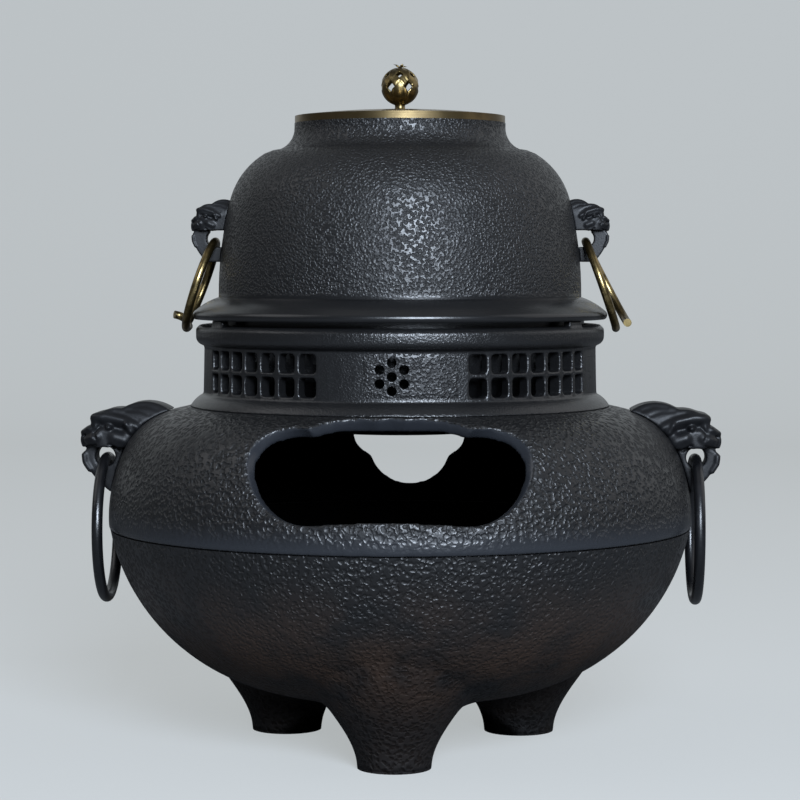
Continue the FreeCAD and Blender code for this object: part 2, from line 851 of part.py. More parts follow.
def lid_plate():
    centre, radius = lid_sphere()
    outline = Outline(knob_stem_radius + seat_clearance, kettle_mouth_height())
    outline.line(lid_radius, kettle_mouth_height())
    outline.line(lid_radius, kettle_mouth_height() + lid_edge_height)
    hole_edge = math.degrees(math.acos((knob_stem_radius + seat_clearance) / radius))
    outline.around(centre, hole_edge)
    return outline.turned()


def tube(outer_radius, inner_radius, bottom, top):
    outer = Part.makeCylinder(outer_radius, top - bottom, up * bottom)
    return outer.cut(Part.makeCylinder(inner_radius, top - bottom, up * bottom))


def lid_collar():
    outer = kettle_mouth_radius - kettle_wall - lid_collar_clearance
    top = kettle_mouth_height()
    return tube(outer, outer - lid_collar_wall, top - lid_collar_depth, top)


def knob_seat_base():
    return kettle_mouth_height() + lid_crown_height


def knob_ball_middle():
    return up * (knob_seat_base() + knob_seat_height + knob_ball_radius)


def knob_seat():
    """A waisted foot, hollowed to fit the ball."""
    base = knob_seat_base()
    bore = knob_stem_radius + seat_clearance
    top = base + knob_seat_height + knob_ball_wall
    outline = Outline(bore, base)
    outline.line(knob_seat_radius, base)
    middle = FreeCAD.Vector(knob_seat_waist_radius, 0, (base + top) / 2)
    outline.through(middle, FreeCAD.Vector(knob_seat_radius + knob_ball_wall, 0, top))
    outline.line(bore, top)
    ball_room = Part.makeSphere(knob_ball_radius + seat_clearance, knob_ball_middle())
    lid_centre, lid_top_radius = lid_sphere()
    return outline.turned().cut([ball_room, Part.makeSphere(lid_top_radius, lid_centre)])


def diamond_bar(size):
    """A square bar along X that starts inside the ball, standing on its edge."""
    corner = FreeCAD.Vector(knob_ball_radius - 2 * knob_ball_wall, -size / 2, -size / 2)
    bar = Part.makeBox(knob_ball_radius, size, size, corner)
    bar.rotate(origin, across, full_turn / 8)
    return bar


def knob_ball():
    """A hollow ball with a ring of diamond windows round its middle and a smaller ring above."""
    middle = knob_ball_middle()
    hollow = Part.makeSphere(knob_ball_radius - knob_ball_wall, middle)
    ball = Part.makeSphere(knob_ball_radius, middle).cut(hollow)
    window = diamond_bar(knob_window_size)
    window.translate(middle - up * knob_window_drop)
    upper_window = diamond_bar(knob_upper_window_size)
    upper_window.rotate(origin, back, -knob_upper_window_angle)
    upper_window.translate(middle)
    upper_window.rotate(origin, up, full_turn / knob_window_count / 2)
    stem_start = middle - up * knob_ball_radius
    stem_hole = Part.makeCylinder(knob_stem_radius + seat_clearance, knob_ball_radius, stem_start)
    windows = turned_copies(window, knob_window_count) + turned_copies(upper_window, knob_window_count)
    return ball.cut(windows + [stem_hole])


def knob_star():
    """A small star on a stalk."""
    ball_top = knob_ball_middle() + up * knob_ball_radius
    base = ball_top + up * knob_star_stalk_height
    spots = []
    for index in range(2 * knob_star_points):
        radius = knob_star_radius if index % 2 == 0 else knob_star_inner_radius
        spots.append(base + around_axis(radius, index / (2 * knob_star_points)))
    star = Part.Face(Part.makePolygon(spots + spots[:1])).extrude(up * knob_star_thickness)
    stalk_start = ball_top - up * knob_ball_wall
    stalk = Part.makeCylinder(knob_star_stalk_radius, knob_ball_wall + knob_star_stalk_height, stalk_start)
    ball = Part.makeSphere(knob_ball_radius + seat_clearance, knob_ball_middle())
    return star.fuse(stalk.cut(ball)).removeSplitter()


def knob_stem():
    """The stud from below the nut to the inside of the ball, with a head that holds the ball down."""
    start = kettle_mouth_height() - knob_nut_height - knob_stem_tail
    inside_floor = knob_ball_middle().z - knob_ball_radius + knob_ball_wall
    head_top = inside_floor + 2 * knob_ball_wall
    stem = Part.makeCylinder(knob_stem_radius, head_top - start, up * start)
    head = Part.makeCylinder(knob_stem_radius + knob_ball_wall, 2 * knob_ball_wall, up * inside_floor)
    hollow = Part.makeSphere(knob_ball_radius - knob_ball_wall - seat_clearance, knob_ball_middle())
    return stem.fuse(head.common(hollow)).removeSplitter()


def knob_nut():
    bottom = kettle_mouth_height() - knob_nut_height
    spots = [around_axis(knob_nut_radius, index / knob_nut_sides) for index in range(knob_nut_sides)]
    nut = Part.Face(Part.makePolygon(spots + spots[:1])).extrude(up * knob_nut_height)
    nut.translate(up * bottom)
    return nut.cut(Part.makeCylinder(knob_stem_radius + seat_clearance, knob_nut_height, up * bottom))


nodes = {
    "lower_bowl": lower_bowl(),
    "shoulder_shell": shoulder_shell(),
    "neck_ring": neck_ring(),
    "fire_grate": fire_grate(),
    "left_stove_lug": mirrored(right_stove_lug()),
    "right_stove_lug": right_stove_lug(),
    "stove_lug_rivets": stove_lug_rivets(),
    "left_stove_ring": mirrored(right_stove_ring()),
    "right_stove_ring": right_stove_ring(),
    "kettle_body": kettle_body(),
    "left_kettle_lug": mirrored(right_kettle_lug()),
    "right_kettle_lug": right_kettle_lug(),
    "left_kettle_ring": left_kettle_ring(),
    "right_kettle_ring": right_kettle_ring(),
    "lid_plate": lid_plate(),
    "lid_collar": lid_collar(),
    "knob_seat": knob_seat(),
    "knob_ball": knob_ball(),
    "knob_star": knob_star(),
    "knob_stem": knob_stem(),
    "knob_nut": knob_nut(),
}

os.makedirs("parts", exist_ok=True)
for name, shape in nodes.items():
    shape.exportStep("parts/" + name + ".step")
    print(name, "solids", len(shape.Solids), "valid", shape.isValid(), "volume", round(shape.Volume))
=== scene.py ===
import math

import bmesh
import bpy
import numpy
from mathutils import Matrix, Vector


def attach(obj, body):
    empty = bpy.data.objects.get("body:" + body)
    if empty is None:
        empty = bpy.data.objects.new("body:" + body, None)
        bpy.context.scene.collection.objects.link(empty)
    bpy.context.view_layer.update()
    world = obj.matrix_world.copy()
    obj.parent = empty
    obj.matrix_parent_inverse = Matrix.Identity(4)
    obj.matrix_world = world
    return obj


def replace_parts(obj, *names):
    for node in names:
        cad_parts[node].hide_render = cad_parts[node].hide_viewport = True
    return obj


# The looks of a charcoal tea stove with its kettle. Lengths are in metres and angles in degrees.

# Camera: its focal length is a share of its sensor's width
camera_distance = 1.345
camera_height = 0.2487
camera_azimuth = 2.25
camera_pitch = 3.02
camera_lens_share = 3.2575

# Stage: a floor that curves up into a backdrop and glows where it is seen
floor_half_width = 5.0
floor_front = -5.0
backdrop_distance = 3.4
backdrop_height = 4.0
backdrop_curve_radius = 1.2
backdrop_curve_steps = 16
stage_color = (0.20, 0.205, 0.21, 1.0)
stage_glow_color = (0.93, 0.985, 1.0, 1.0)
stage_glow = 0.46
stage_roughness = 0.85
stage_sheen_level = 0.0
wall_start_height = 0.1
wall_full_height = 0.5
stage_grain_size = 0.004
stage_bump_depth = 0.0002

# Light: the world is brighter to the camera than to the stove, and lamps are placed as seen from the stove
world_color = (0.95, 0.97, 1.0, 1.0)
world_strength = 0.075
world_seen_strength = 0.55
cool_light = (0.76, 0.86, 1.0)
plain_light = (0.98, 0.98, 1.0)
lamps = {
    "front_window": {
        "azimuth": 13.0,
        "elevation": 20.0,
        "distance": 2.6,
        "size": 1.0,
        "power": 130.0,
        "color": cool_light,
    },
    "left_window": {
        "azimuth": -82.0,
        "elevation": 40.0,
        "distance": 2.4,
        "size": 1.6,
        "power": 8.5,
        "color": plain_light,
    },
    "right_window": {
        "azimuth": 100.0,
        "elevation": 30.0,
        "distance": 2.4,
        "size": 2.2,
        "power": 10.0,
        "color": plain_light,
    },
    "ceiling": {
        "azimuth": 0.0,
        "elevation": 86.0,
        "distance": 2.2,
        "size": 1.8,
        "power": 2.5,
        "color": plain_light,
    },
}
lamp_target_height = 0.2

# Skin of the iron castings: a smooth ground with small pits
noise_detail = 3.0
stove_pit_size = 0.0025
kettle_pit_size = 0.0014
panel_pit_size = 0.0014
neck_pit_size = 0.0010
neck_skin_share = 0.3
pit_depth_share = 0.20
pit_drift_share = 0.9
pit_levels = (0.72, 0.2)
pit_bump_strength = 1.0
ground_roughness = 0.36
pit_roughness = 0.62
smooth_roughness = 0.27
sheen_level = 0.5
grain_size = 0.0009
grain_bump_depth = 0.00012
grain_bump_strength = 0.5
iron_pit = (0.0010, 0.0010, 0.0012, 1.0)
iron_ground = (0.0068, 0.0069, 0.0073, 1.0)
# Lighter colour of the shoulder's window edges and belly strip: painted highlight and painted bounce light
iron_edge_painted_light = (0.018, 0.020, 0.024, 1.0)

# Dull iron with brown patches below the belly
dull_roughness = 0.7
dull_top_height = 0.098
dull_full_height = 0.040
dull_sheen_level = 0.16
brown_top_height = 0.108
brown_full_height = 0.055
brown_low_height = 0.020
brown_foot_share = 0.2
brown_share = 0.85
brown_patch_levels = (0.27, 0.62)
brown_patch_size = 0.03
iron_low_brown = (0.030, 0.0175, 0.0115, 1.0)

# Soot
soot_flake_size = 0.003
soot_flake_depth = 0.0004
soot_roughness = 0.95
soot_sheen_level = 0.0
iron_soot = (0.0012, 0.0012, 0.0012, 1.0)

# Dressed iron and the iron of the beast faces
wear_size = 0.012
wear_levels = (0.3, 0.7)
dressed_roughness_levels = (0.26, 0.38)
beast_roughness_levels = (0.40, 0.54)
beast_sheen_level = 0.3
iron_smooth_dark = (0.003, 0.0032, 0.0038, 1.0)
iron_smooth_light = (0.007, 0.0073, 0.0084, 1.0)

# Brass
cloud_detail = 4.0
brass_cloud_size = 0.006
brass_cloud_drift = 0.5
brass_cloud_levels = (0.35, 0.65)
brass_wear_levels = (0.3, 0.7)
brass_roughness_levels = (0.42, 0.26)
brass_bump_depth = 0.00004
brass_dark = (0.085, 0.064, 0.028, 1.0)
brass_bright = (0.30, 0.225, 0.10, 1.0)
lid_cloud_size = 0.018
lid_cloud_drift = 0.4
lid_cloud_levels = (0.3, 0.7)
lid_roughness_levels = (0.44, 0.30)
lid_groove_size = 0.0007
lid_groove_detail = 2.0
lid_dark = (0.11, 0.08, 0.04, 1.0)
lid_bright = (0.21, 0.155, 0.075, 1.0)

# Places of the castings that the looks depend on, and how squarely a face looks away from them
window_focus_depth = 0.070
window_focus_height = 0.100
window_facing_levels = (0.25, 0.5)
belly_line_height = 0.1126
# Strip above the belly line without pits, where the shoulder carries a painted highlight
belly_strip_height = 0.015
soot_facing_levels = (0.1, -0.2)
flange_top_height = 0.2315
flange_blend_height = 0.003

# Softened edges of the castings
merge_voxel_share = 0.01
shoulder_voxel = 0.0011
shoulder_soft_passes = 10
neck_voxel = 0.0006
neck_soft_passes = 8

# Trumpet form in which the feet run into the bowl
bowl_flat_radius = 0.046
bowl_base_height = 0.0276
bowl_curve_radius = 0.10515
foot_circle_radius = 0.0714
foot_turns = {"front": 0.0, "right": 120.0, "left": 240.0}
flare_base_height = 0.0012
flare_base_radius = 0.0184
flare_widening = 0.030
flare_height = 0.062
flare_straight_share = 0.85
flare_blend = 0.007
flare_sink = 0.003
flare_dip = 0.0007
flare_dip_power = 6
flare_search_height = 0.10
flare_search_steps = 24
flare_rows = 28
flare_sides = 96

# Ring holders: root, tip, chin and crown of the brazier's and of the kettle's beast faces
stove_beast = {"root": 0.118, "tip": 0.165, "chin": 0.130, "crown": 0.1772}
kettle_beast = {"root": 0.084, "tip": 0.1076, "chin": 0.249, "crown": 0.2812}
beast_voxel_share = 0.013
beast_soft_passes = 14
beast_crown_start_share = 0.72
beast_crown_narrowing_share = 0.45

# Carving of a beast face in side view: paths run from root to tip and from chin to crown
beast_strokes = {
    "brow": {
        "path_shares": ((0.36, 0.73), (0.52, 0.80), (0.70, 0.84), (0.86, 0.83)),
        "reach_share": 0.065,
        "lift_share": 0.034,
    },
    "socket": {
        "path_shares": ((0.52, 0.70), (0.64, 0.73), (0.76, 0.745)),
        "reach_share": 0.065,
        "lift_share": -0.045,
    },
    "eye": {
        "path_shares": ((0.655, 0.725), (0.675, 0.728)),
        "reach_share": 0.050,
        "lift_share": 0.075,
    },
    "cheek": {
        "path_shares": ((0.50, 0.585), (0.60, 0.615)),
        "reach_share": 0.095,
        "lift_share": 0.035,
    },
    "muzzle": {
        "path_shares": ((0.80, 0.62), (0.90, 0.585)),
        "reach_share": 0.080,
        "lift_share": 0.040,
    },
    "nose": {
        "path_shares": ((0.89, 0.70), (0.96, 0.655)),
        "reach_share": 0.050,
        "lift_share": 0.030,
    },
    "nostril": {
        "path_shares": ((0.94, 0.635), (0.955, 0.625)),
        "reach_share": 0.030,
        "lift_share": -0.035,
    },
    "nose_crease": {
        "path_shares": ((0.79, 0.72), (0.83, 0.66), (0.80, 0.60)),
        "reach_share": 0.030,
        "lift_share": -0.025,
    },
    "mouth": {
        "path_shares": ((0.97, 0.475), (0.90, 0.50), (0.82, 0.52)),
        "reach_share": 0.030,
        "lift_share": -0.035,
    },
    "lip": {
        "path_shares": ((0.96, 0.41), (0.95, 0.33), (0.90, 0.25)),
        "reach_share": 0.045,
        "lift_share": 0.025,
    },
    "ear": {
        "path_shares": ((0.42, 0.68), (0.47, 0.745)),
        "reach_share": 0.050,
        "lift_share": 0.040,
    },
    "jaw_fold": {
        "path_shares": ((0.58, 0.48), (0.66, 0.53)),
        "reach_share": 0.035,
        "lift_share": -0.025,
    },
    "low_lock": {
        "path_shares": ((0.34, 0.80), (0.46, 0.855), (0.60, 0.885)),
        "reach_share": 0.034,
        "lift_share": -0.007,
    },
    "middle_lock": {
        "path_shares": ((0.22, 0.86), (0.34, 0.905), (0.48, 0.905)),
        "reach_share": 0.034,
        "lift_share": -0.007,
    },
    "top_lock": {
        "path_shares": ((0.14, 0.915), (0.26, 0.955), (0.40, 0.945)),
        "reach_share": 0.034,
        "lift_share": -0.007,
    },
}

# Knob: petals rise from below and leaves hang from above, drawn in degrees of longitude and latitude
knob_ball_height = 0.3389
knob_ball_radius = 0.0091
knob_skin_depth = 0.0006
knob_swell_share = 1.05
knob_petals = 6
knob_voxel = 0.00024
knob_soft_passes = 4
knob_strokes = {
    "petal_edge": {
        "path_degrees": ((27, -75), (27, -35), (21, -8), (10, 12), (0, 20)),
        "reach_degrees": 6,
        "lift": 0.00025,
    },
    "petal_swell": {
        "path_degrees": ((0, -60), (0, -5)),
        "reach_degrees": 24,
        "lift": 0.00030,
    },
    "leaf_edge": {
        "path_degrees": ((30, 18), (20, 36), (8, 56), (4, 75)),
        "reach_degrees": 6,
        "lift": 0.00022,
    },
}

# Star of leaves on a short stalk on top of the knob
star_leaves = 6
star_height = 0.3487
star_reach = 0.0038
star_half_width = 0.0009
star_thickness = 0.0006
star_low_tilt = 5.0
star_high_tilt = 26.0
star_stalk_radius = 0.0009
star_stalk_height = 0.0024
stalk_sides = 16

# Blossom panels of the neck
panel_turns = {"front": 0.0, "rear": 180.0}
panel_start_angle = -7.6
panel_end_angle = 18.2
panel_base_height = 0.1838
panel_top_height = 0.2050
panel_radius = 0.1014
panel_depth = 0.0020
panel_columns = 24
panel_rows = 8
panel_edge_rounding = 0.0004
panel_edge_steps = 2
blossom_height = 0.19401
blossom_pitch = 0.0068
blossom_petals = 6
blossom_hole_radius = 0.00245
blossom_bar_length = 0.016
hole_sides = 32


class Shading:
    """A material whose nodes are added one by one."""

    def __init__(self, name):
        self.material = bpy.data.materials.new(name)
        self.material.use_nodes = True
        self.nodes = self.material.node_tree.nodes
        self.links = self.material.node_tree.links
        self.shader = self.nodes["Principled BSDF"]
        self.place = self.add("ShaderNodeTexCoord").outputs["Object"]

    def add(self, kind, settings=None, **inputs):
        """A new node with its settings and inputs; an underscore stands for a space."""
        node = self.nodes.new(kind)
        for name, value in (settings or {}).items():
            setattr(node, name, value)
        for name, value in inputs.items():
            self.join(node.inputs[name.replace("_", " ")], value)
        return node

    def join(self, socket, value):
        """Links another node's output to a socket, or sets the socket to a constant."""
        if isinstance(value, bpy.types.NodeSocket):
            self.links.new(value, socket)
        else:
            socket.default_value = value

    def noise(self, size, detail=noise_detail, distortion=0.0, place=None):
        """Soft clouds of this size."""
        node = self.add(
            "ShaderNodeTexNoise",
            Vector=place or self.place,
            Scale=1 / size,
            Detail=detail,
            Distortion=distortion,
        )
        return node.outputs["Fac"]

    def cells(self, size, drift):
        """Distance from the nearest of many scattered spots, in shares of their spacing."""
        swirl = self.add("ShaderNodeTexNoise", Vector=self.place, Scale=1 / size, Detail=0.0)
        place = self.add("ShaderNodeVectorMath", {"operation": "MULTIPLY_ADD"})
        self.join(place.inputs[0], swirl.outputs["Color"])
        self.join(place.inputs[1], (drift, drift, drift))
        self.join(place.inputs[2], self.place)
        spots = self.add("ShaderNodeTexVoronoi", Vector=place.outputs["Vector"], Scale=1 / size)
        return spots.outputs["Distance"]

    def math(self, operation, first, second):
        """A sum or product of two values, kept between 0 and 1."""
        node = self.add("ShaderNodeMath", {"operation": operation, "use_clamp": True})
        self.join(node.inputs[0], first)
        self.join(node.inputs[1], second)
        return node.outputs[0]

    def ramp(self, value, start, end, start_value=0.0, end_value=1.0):
        """Maps the stretch from start to end to new values, smoothly."""
        node = self.add(
            "ShaderNodeMapRange",
            {"interpolation_type": "SMOOTHSTEP"},
            Value=value,
            From_Min=start,
            From_Max=end,
            To_Min=start_value,
            To_Max=end_value,
        )
        return node.outputs["Result"]

    def blend(self, share, first, second):
        """A value that goes smoothly from the first to the second as the share grows."""
        return self.ramp(share, 0.0, 1.0, first, second)

    def mix(self, share, first, second):
        """A colour between two colours."""
        node = self.add("ShaderNodeMix", {"data_type": "RGBA"}, Factor=share, A=first, B=second)
        return node.outputs["Result"]

    def bump(self, height, strength, depth, normal=None):
        """The surface's direction, made uneven by a height."""
        node = self.add("ShaderNodeBump", Height=height, Strength=strength, Distance=depth)
        if normal is not None:
            self.join(node.inputs["Normal"], normal)
        return node.outputs["Normal"]

    def finish(self, color, roughness, normal, metallic=0.0, sheen=sheen_level):
        """Joins the shader's inputs and gives the material."""
        self.join(self.shader.inputs["Base Color"], color)
        self.join(self.shader.inputs["Roughness"], roughness)
        self.join(self.shader.inputs["Normal"], normal)
        self.join(self.shader.inputs["Metallic"], metallic)
        self.join(self.shader.inputs["Specular IOR Level"], sheen)
        return self.material


def height_of(shading):
    """Height above the floor when all is at rest."""
    return shading.add("ShaderNodeSeparateXYZ", Vector=shading.place).outputs["Z"]


def facing_away(shading, centre):
    """How squarely the surface faces away from this centre, from -1 to 1."""
    spoke = shading.add("ShaderNodeVectorMath", {"operation": "SUBTRACT"})
    shading.join(spoke.inputs[0], shading.place)
    shading.join(spoke.inputs[1], centre)
    way = shading.add("ShaderNodeVectorMath", {"operation": "NORMALIZE"}, Vector=spoke.outputs["Vector"])
    facing = shading.add("ShaderNodeVectorMath", {"operation": "DOT_PRODUCT"})
    shading.join(facing.inputs[0], way.outputs["Vector"])
    shading.join(facing.inputs[1], shading.add("ShaderNodeNewGeometry").outputs["True Normal"])
    return facing.outputs["Value"]


def full_skin(shading):
    """Full pits everywhere."""
    return 1.0


def faint_skin(shading):
    """Shallow pits all over the neck, which is finer cast than the belly."""
    return neck_skin_share


def above_flange(shading):
    """No pits on the kettle's flange, which is dressed smooth."""
    return shading.ramp(height_of(shading), flange_top_height, flange_top_height + flange_blend_height)


def off_window_edges(shading):
    """No pits at the belly line and in the windows' cut edges, which run along lines to a focus; there the
    shoulder's colour is lighter, a painted highlight and painted bounce light.
    """
    parts = shading.add("ShaderNodeSeparateXYZ", Vector=shading.place)
    side = shading.add("ShaderNodeMath", {"operation": "SIGN"}, Value=parts.outputs["Y"])
    depth = shading.add("ShaderNodeMath", {"operation": "MULTIPLY"}, Value=side.outputs[0])
    depth.inputs[1].default_value = window_focus_depth
    focus = shading.add("ShaderNodeCombineXYZ", Y=depth.outputs[0], Z=window_focus_height)
    outside = shading.ramp(facing_away(shading, focus.outputs["Vector"]), *window_facing_levels)
    strip = shading.ramp(parts.outputs["Z"], belly_line_height, belly_line_height + belly_strip_height)
    return shading.math("MULTIPLY", outside, strip)


def low_dull_brown(shading, color, roughness, sheen):
    """Dull iron low on the bowl, with brown patches that fade at the belly line and on the feet."""
    height = height_of(shading)
    dullness = shading.ramp(height, dull_top_height, dull_full_height)
    bowl = shading.ramp(height, brown_top_height, brown_full_height, 0.0, brown_share)
    feet = shading.ramp(height, brown_low_height, brown_full_height, brown_foot_share)
    patches = shading.ramp(shading.noise(brown_patch_size), *brown_patch_levels)
    brown_cover = shading.math("MULTIPLY", shading.math("MULTIPLY", bowl, feet), patches)
    color = shading.mix(brown_cover, color, iron_low_brown)
    roughness = shading.blend(dullness, roughness, dull_roughness)
    sheen = shading.blend(dullness, sheen, dull_sheen_level)
    return color, roughness, sheen


def fire_soot(shading, color, roughness, sheen):
    """Soot where the wall of the brazier faces its fire."""
    soot = shading.ramp(facing_away(shading, (0.0, 0.0, belly_line_height)), *soot_facing_levels)
    color = shading.mix(soot, color, iron_soot)
    roughness = shading.blend(soot, roughness, soot_roughness)
    sheen = shading.blend(soot, sheen, soot_sheen_level)
    return color, roughness, sheen


def iron_skin(name, pit_size, skin_share=full_skin, smooth_tone_and_painted_light=iron_ground, wears=()):
    """Black cast iron with the pitted skin of its mould, a given colour where the pits are off (on the
    shoulder a painted highlight and painted bounce light), and with what wear there is.
    """
    shading = Shading(name)
    skin = skin_share(shading)
    spots = shading.ramp(shading.cells(pit_size, pit_drift_share * pit_size), *pit_levels)
    roughness = shading.blend(spots, ground_roughness, pit_roughness)
    roughness = shading.blend(skin, smooth_roughness, roughness)
    pits = shading.math("MULTIPLY", spots, skin)
    color = shading.mix(pits, iron_ground, iron_pit)
    # Where the pits are off this colour takes over: on the shoulder a painted highlight and painted bounce
    # light
    color = shading.mix(skin, smooth_tone_and_painted_light, color)
    sheen = sheen_level
    for wear in wears:
        color, roughness, sheen = wear(shading, color, roughness, sheen)
    normal = shading.bump(shading.noise(grain_size), grain_bump_strength, grain_bump_depth)
    ground = shading.math("SUBTRACT", 1.0, pits)
    normal = shading.bump(ground, pit_bump_strength, pit_depth_share * pit_size, normal)
    return shading.finish(color, roughness, normal, sheen=sheen)


def sooty_iron():
    """Iron that is black and dull from the fire."""
    shading = Shading("sooty_iron")
    flakes = shading.noise(soot_flake_size)
    normal = shading.bump(flakes, grain_bump_strength, soot_flake_depth)
    color = shading.mix(flakes, iron_soot, iron_pit)
    return shading.finish(color, soot_roughness, normal)


def iron_smooth(name, roughness_levels, sheen):
    """Black cast iron that was dressed smooth, with a cool sheen."""
    shading = Shading(name)
    wear = shading.noise(wear_size)
    normal = shading.bump(shading.noise(grain_size), grain_bump_strength, grain_bump_depth)
    color = shading.mix(wear, iron_smooth_dark, iron_smooth_light)
    roughness = shading.ramp(wear, *wear_levels, *roughness_levels)
    return shading.finish(color, roughness, normal, sheen=sheen)


def aged_brass():
    """Brass with brown clouds."""
    shading = Shading("aged_brass")
    clouds = shading.noise(brass_cloud_size, cloud_detail, brass_cloud_drift)
    normal = shading.bump(shading.noise(grain_size), grain_bump_strength, brass_bump_depth)
    color = shading.mix(shading.ramp(clouds, *brass_cloud_levels), brass_dark, brass_bright)
    roughness = shading.ramp(clouds, *brass_wear_levels, *brass_roughness_levels)
    return shading.finish(color, roughness, normal, metallic=1.0)


def satin_brass():
    """Brass with the fine turning marks of a lathe."""
    shading = Shading("satin_brass")
    parts = shading.add("ShaderNodeSeparateXYZ", Vector=shading.place)
    flat = shading.add("ShaderNodeCombineXYZ", X=parts.outputs["X"], Y=parts.outputs["Y"])
    reach = shading.add("ShaderNodeVectorMath", {"operation": "LENGTH"}, Vector=flat.outputs["Vector"])
    ring = shading.add("ShaderNodeCombineXYZ", X=reach.outputs["Value"], Z=parts.outputs["Z"])
    grooves = shading.noise(lid_groove_size, lid_groove_detail, place=ring.outputs["Vector"])
    clouds = shading.noise(lid_cloud_size, cloud_detail, lid_cloud_drift)
    normal = shading.bump(grooves, grain_bump_strength, brass_bump_depth)
    color = shading.mix(shading.ramp(clouds, *lid_cloud_levels), lid_dark, lid_bright)
    roughness = shading.ramp(clouds, *lid_cloud_levels, *lid_roughness_levels)
    return shading.finish(color, roughness, normal, metallic=1.0)


def stage_paper():
    """Pale paper that glows to the camera and, on the wall, in the reflections."""
    shading = Shading("stage_paper")
    normal = shading.bump(shading.noise(stage_grain_size), grain_bump_strength, stage_bump_depth)
    rays = shading.add("ShaderNodeLightPath").outputs
    wall = shading.ramp(height_of(shading), wall_start_height, wall_full_height)
    mirrored = shading.math("MULTIPLY", rays["Is Glossy Ray"], wall)
    seen = shading.math("ADD", rays["Is Camera Ray"], mirrored)
    shading.join(shading.shader.inputs["Emission Color"], stage_glow_color)
    shading.join(shading.shader.inputs["Emission Strength"], shading.math("MULTIPLY", seen, stage_glow))
    return shading.finish(stage_color, stage_roughness, normal, sheen=stage_sheen_level)


def build_stage():
    """A pale floor that runs up into a backdrop behind the stove."""
    profile = [(floor_front, 0.0)]
    for step in range(backdrop_curve_steps + 1):
        angle = math.radians(90 * step / backdrop_curve_steps)
        reach = backdrop_distance - backdrop_curve_radius * (1 - math.sin(angle))
        profile.append((reach, backdrop_curve_radius * (1 - math.cos(angle))))
    profile.append((backdrop_distance, backdrop_height))
    points = [(side * floor_half_width, y, z) for y, z in profile for side in (-1, 1)]
    faces = [(i, i + 1, i + 3, i + 2) for i in range(0, len(points) - 2, 2)]
    mesh = bpy.data.meshes.new("stage_sweep")
    mesh.from_pydata(points, [], faces)
    mesh.shade_smooth()
    mesh.materials.append(stage_paper())
    stage = bpy.data.objects.new("stage_sweep", mesh)
    bpy.context.scene.collection.objects.link(stage)


def around_axis(azimuth, reach, height=0.0):
    """A point at this reach from the stove's axis; azimuth 0 is the front."""
    turn = math.radians(azimuth)
    return Vector((reach * math.sin(turn), -reach * math.cos(turn), height))


def build_world():
    """An even light all round."""
    world = bpy.data.worlds.new("studio")
    bpy.context.scene.world = world
    world.use_nodes = True
    tree = world.node_tree
    background = tree.nodes["Background"]
    background.inputs["Color"].default_value = world_color
    strength = tree.nodes.new("ShaderNodeMapRange")
    strength.inputs["To Min"].default_value = world_strength
    strength.inputs["To Max"].default_value = world_seen_strength
    rays = tree.nodes.new("ShaderNodeLightPath")
    tree.links.new(rays.outputs["Is Camera Ray"], strength.inputs["Value"])
    tree.links.new(strength.outputs["Result"], background.inputs["Strength"])


def build_lamps():
    """Square lamps that face the stove."""
    for name, lamp in lamps.items():
        data = bpy.data.lights.new(name, "AREA")
        data.shape = "SQUARE"
        data.size = lamp["size"]
        data.energy = lamp["power"]
        data.color = lamp["color"]
        light = bpy.data.objects.new(name, data)
        rise = math.radians(lamp["elevation"])
        level = lamp["distance"] * math.cos(rise)
        spoke = around_axis(lamp["azimuth"], level, lamp["distance"] * math.sin(rise))
        light.location = spoke + Vector((0, 0, lamp_target_height))
        light.rotation_euler = spoke.to_track_quat("Z", "Y").to_euler()
        bpy.context.scene.collection.objects.link(light)


def build_camera():
    """The camera that was fitted to the photo."""
    data = bpy.data.cameras.new("photo_camera")
    data.lens = data.sensor_width * camera_lens_share
    camera = bpy.data.objects.new("photo_camera", data)
    camera.location = around_axis(camera_azimuth, camera_distance, camera_height)
    camera.rotation_euler = (math.radians(90 - camera_pitch), 0, math.radians(camera_azimuth))
    bpy.context.scene.collection.objects.link(camera)
    bpy.context.scene.camera = camera


def dress(nodes, material):
    """Gives CAD nodes their material."""
    for node in nodes:
        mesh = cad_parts[node].data
        mesh.materials.clear()
        mesh.materials.append(material)


def mesh_of(form, name):
    """The mesh of a form, which is freed."""
    mesh = bpy.data.meshes.new(name)
    form.to_mesh(mesh)
    form.free()
    return mesh


def new_piece(name, mesh, body, material):
    """Adds a mesh to the scene as a piece that moves with a CAD body."""
    mesh.materials.clear()
    mesh.materials.append(material)
    mesh.shade_smooth()
    piece = bpy.data.objects.new(name, mesh)
    bpy.context.scene.collection.objects.link(piece)
    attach(piece, body)
    return piece


def settle(piece):
    """Applies the modifiers of a piece to its mesh."""
    finished = piece.evaluated_get(bpy.context.evaluated_depsgraph_get())
    mesh = bpy.data.meshes.new_from_object(finished)
    piece.modifiers.clear()
    piece.data = mesh
    mesh.shade_smooth()


def cast_copy(node, name, body, material, voxel, passes):
    """A piece with the form of a CAD node and the soft edges of a casting, which stands for that node."""
    form = bmesh.new()
    form.from_mesh(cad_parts[node].data)
    bmesh.ops.remove_doubles(form, verts=form.verts, dist=merge_voxel_share * voxel)
    piece = new_piece(name, mesh_of(form, name), body, material)
    remesh = piece.modifiers.new("voxels", "REMESH")
    remesh.mode = "VOXEL"
    remesh.voxel_size = voxel
    soften = piece.modifiers.new("soften", "SMOOTH")
    soften.iterations = passes
    settle(piece)
    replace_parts(piece, node)
    return piece


def add_strip(form, lower, upper):
    """A strip of faces between two rows of corners."""
    for i in range(len(lower) - 1):
        form.faces.new((lower[i], lower[i + 1], upper[i + 1], upper[i]))


